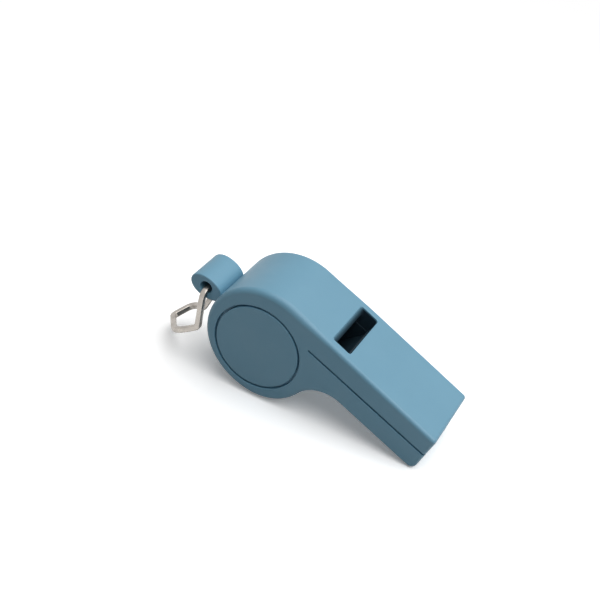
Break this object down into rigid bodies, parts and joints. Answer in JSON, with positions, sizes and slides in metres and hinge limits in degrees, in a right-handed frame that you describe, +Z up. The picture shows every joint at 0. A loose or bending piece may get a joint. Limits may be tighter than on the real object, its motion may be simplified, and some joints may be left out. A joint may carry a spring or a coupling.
{
  "type": "pea whistle",
  "caption": "Pea whistle for training dogs: round chamber with flush side caps, flat tapered mouthpiece with a top window, loose pea, and a bent wire clip through a lanyard lug.",
  "frame": {"origin": "on the surface the whistle stands on, under the middle of its length and width", "axes": "+Z up, +X along the whistle towards the mouth, +Y across it, so the side that the picture shows faces -Y"},
  "size_m": [0.058, 0.0154, 0.0235],
  "materials": {
    "body_plastic": "satin moulded, slate blue",
    "jaw_plastic": "satin moulded, slate blue",
    "cap_plastic": "satin moulded, slate blue",
    "cork": "turned cork",
    "clip_wire": "nickel-plated drawn wire"
  },
  "bodies": {
    "whistle": {"body_shell": "body_plastic", "lower_jaw": "jaw_plastic", "side_cap_near": "cap_plastic", "side_cap_far": "cap_plastic"},
    "clip": {"lanyard_clip": "clip_wire"},
    "pea": {"pea": "cork"}
  },
  "joints": [
    {"name": "clip_swing", "type": "hinge", "parent": "whistle", "child": "clip", "pos_m": [-0.01997, 0, 0.01663], "axis": [0, 1, 0], "range_deg": [-15, 200]},
    {"name": "pea_orbit", "type": "hinge", "parent": "whistle", "child": "pea", "pos_m": [-0.00559, 0, 0.01175], "axis": [0, 1, 0], "continuous": true}
  ]
}
